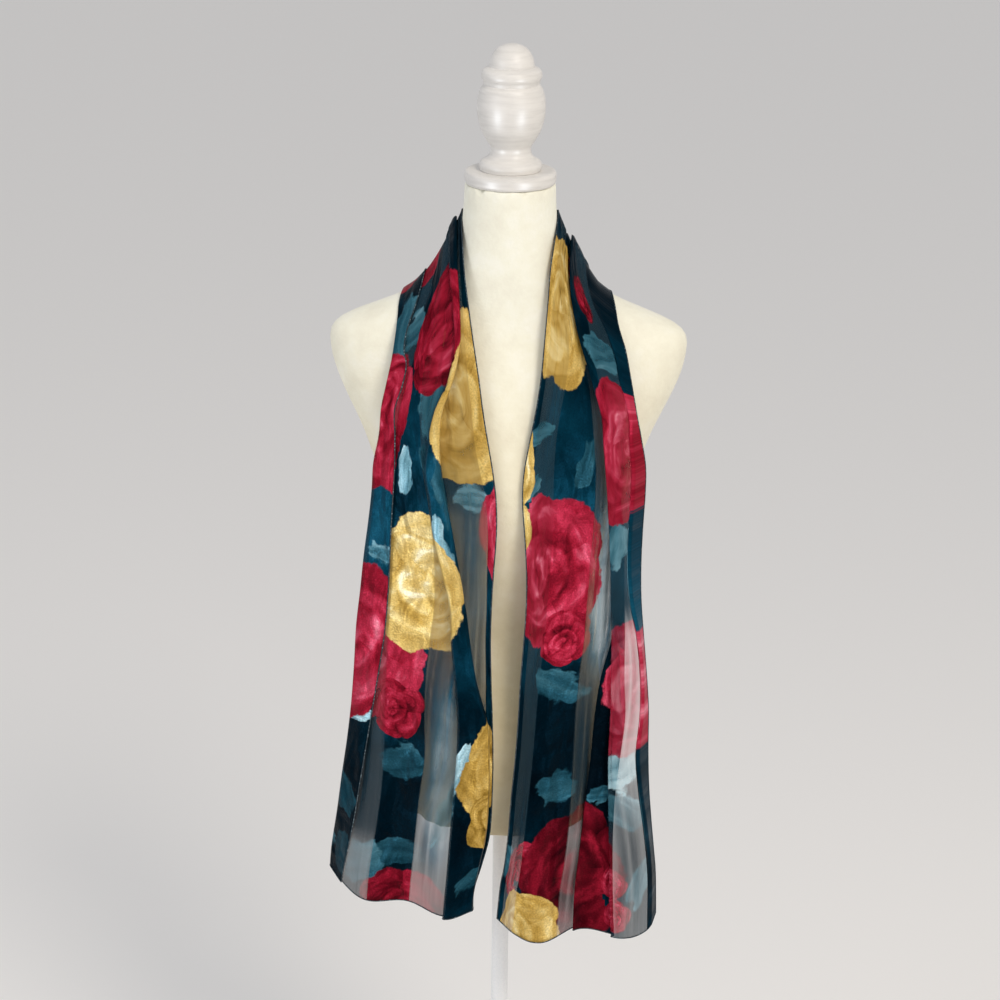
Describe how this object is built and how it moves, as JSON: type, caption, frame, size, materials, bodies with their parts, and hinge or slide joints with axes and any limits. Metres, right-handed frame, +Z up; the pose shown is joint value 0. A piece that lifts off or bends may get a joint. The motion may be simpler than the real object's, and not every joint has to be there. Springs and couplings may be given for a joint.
{
  "type": "chiffon scarf on a dress form",
  "caption": "Long printed scarf of sheer and satin stripes, laid round the neck of a limbless cloth-covered dress form on a round pole and base, its pleated ends hanging down the front.",
  "frame": {"origin": "centre of the base's underside, on the pole's axis", "axes": "+Z up along the pole, -Y the way the form faces, +X the wearer's left"},
  "size_m": [0.38, 0.38, 1.45],
  "materials": {
    "chiffon": "printed semi-sheer weave with satin stripes",
    "form_cover": "matte stretched jersey",
    "painted_wood": "white paint, low sheen",
    "enamel": "white enamel"
  },
  "bodies": {
    "root": {"scarf_left_front": "chiffon", "scarf_neck_back": "chiffon", "scarf_right_front": "chiffon", "form_torso": "form_cover", "neck_cap": "painted_wood", "finial": "painted_wood", "pole": "enamel", "base_plate": "enamel"}
  },
  "joints": []
}
